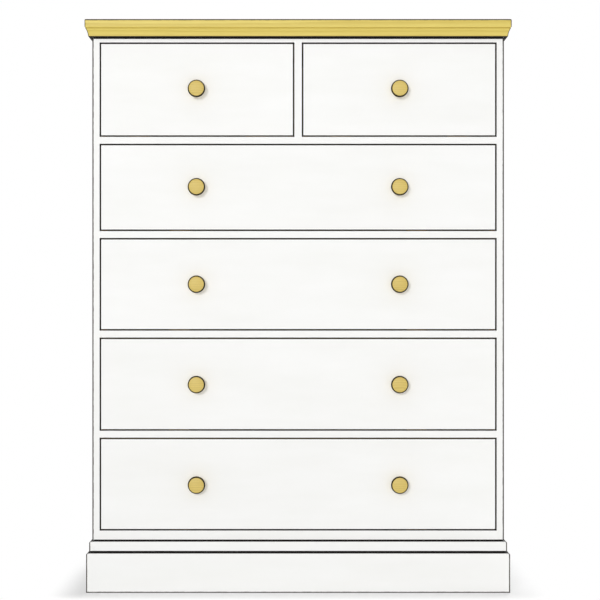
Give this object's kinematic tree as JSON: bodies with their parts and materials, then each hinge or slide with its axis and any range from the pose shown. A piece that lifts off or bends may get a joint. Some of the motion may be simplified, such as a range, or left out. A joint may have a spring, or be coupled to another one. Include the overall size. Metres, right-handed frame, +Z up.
{
  "type": "chest of drawers",
  "caption": "Upright painted chest of inset drawers, short ones over long ones, with a plinth, a pale wooden moulded top and turned knobs, for storing clothes.",
  "frame": {"origin": "on the floor, in the middle of the width and of the depth with the knobs", "axes": "+Z up, +X to the right of someone who faces the drawers, -Y out of the front, the way the drawers open"},
  "size_m": [0.93, 0.465, 1.25],
  "materials": {
    "white_paint": "satin white paint on wood",
    "pale_gold_wood": "clear satin lacquer on pale golden wood",
    "bare_wood": "planed, unfinished softwood",
    "plywood": "sanded plywood",
    "steel": "zinc-plated steel screws"
  },
  "bodies": {
    "case": {"back_panel": "plywood", "back_rails": "bare_wood", "base_moulding_front": "white_paint", "base_moulding_returns": "white_paint", "bottom_rails": "white_paint", "centre_guide": "bare_wood", "centre_runner": "bare_wood", "corner_blocks": "bare_wood", "drawer_rails": "white_paint", "drawer_stops": "bare_wood", "dust_panel": "plywood", "kickers": "bare_wood", "muntin": "white_paint", "plinth_backing": "bare_wood", "plinth_front": "white_paint", "plinth_returns": "white_paint", "side_panel_left": "white_paint", "side_panel_right": "white_paint", "side_runners": "bare_wood", "top_board": "pale_gold_wood", "top_moulding_front": "pale_gold_wood", "top_moulding_returns": "pale_gold_wood", "top_rails": "white_paint"},
    "bottom_drawer": {"bottom_drawer_back": "bare_wood", "bottom_drawer_bottom": "plywood", "bottom_drawer_front": "white_paint", "bottom_drawer_knobs": "pale_gold_wood", "bottom_drawer_sides": "bare_wood"},
    "fourth_drawer": {"fourth_drawer_back": "bare_wood", "fourth_drawer_bottom": "plywood", "fourth_drawer_front": "white_paint", "fourth_drawer_knobs": "pale_gold_wood", "fourth_drawer_sides": "bare_wood"},
    "third_drawer": {"third_drawer_back": "bare_wood", "third_drawer_bottom": "plywood", "third_drawer_front": "white_paint", "third_drawer_knobs": "pale_gold_wood", "third_drawer_sides": "bare_wood"},
    "second_drawer": {"second_drawer_back": "bare_wood", "second_drawer_bottom": "plywood", "second_drawer_front": "white_paint", "second_drawer_knobs": "pale_gold_wood", "second_drawer_sides": "bare_wood"},
    "top_left_drawer": {"top_left_drawer_back": "bare_wood", "top_left_drawer_bottom": "plywood", "top_left_drawer_front": "white_paint", "top_left_drawer_knobs": "pale_gold_wood", "top_left_drawer_sides": "bare_wood"},
    "top_right_drawer": {"top_right_drawer_back": "bare_wood", "top_right_drawer_bottom": "plywood", "top_right_drawer_front": "white_paint", "top_right_drawer_knobs": "pale_gold_wood", "top_right_drawer_sides": "bare_wood"}
  },
  "joints": [
    {"name": "bottom_drawer_slide", "type": "slide", "parent": "case", "child": "bottom_drawer", "axis": [0, -1, 0], "range_m": [0, 0.32]},
    {"name": "fourth_drawer_slide", "type": "slide", "parent": "case", "child": "fourth_drawer", "axis": [0, -1, 0], "range_m": [0, 0.32]},
    {"name": "third_drawer_slide", "type": "slide", "parent": "case", "child": "third_drawer", "axis": [0, -1, 0], "range_m": [0, 0.32]},
    {"name": "second_drawer_slide", "type": "slide", "parent": "case", "child": "second_drawer", "axis": [0, -1, 0], "range_m": [0, 0.32]},
    {"name": "top_left_drawer_slide", "type": "slide", "parent": "case", "child": "top_left_drawer", "axis": [0, -1, 0], "range_m": [0, 0.32]},
    {"name": "top_right_drawer_slide", "type": "slide", "parent": "case", "child": "top_right_drawer", "axis": [0, -1, 0], "range_m": [0, 0.32]}
  ]
}
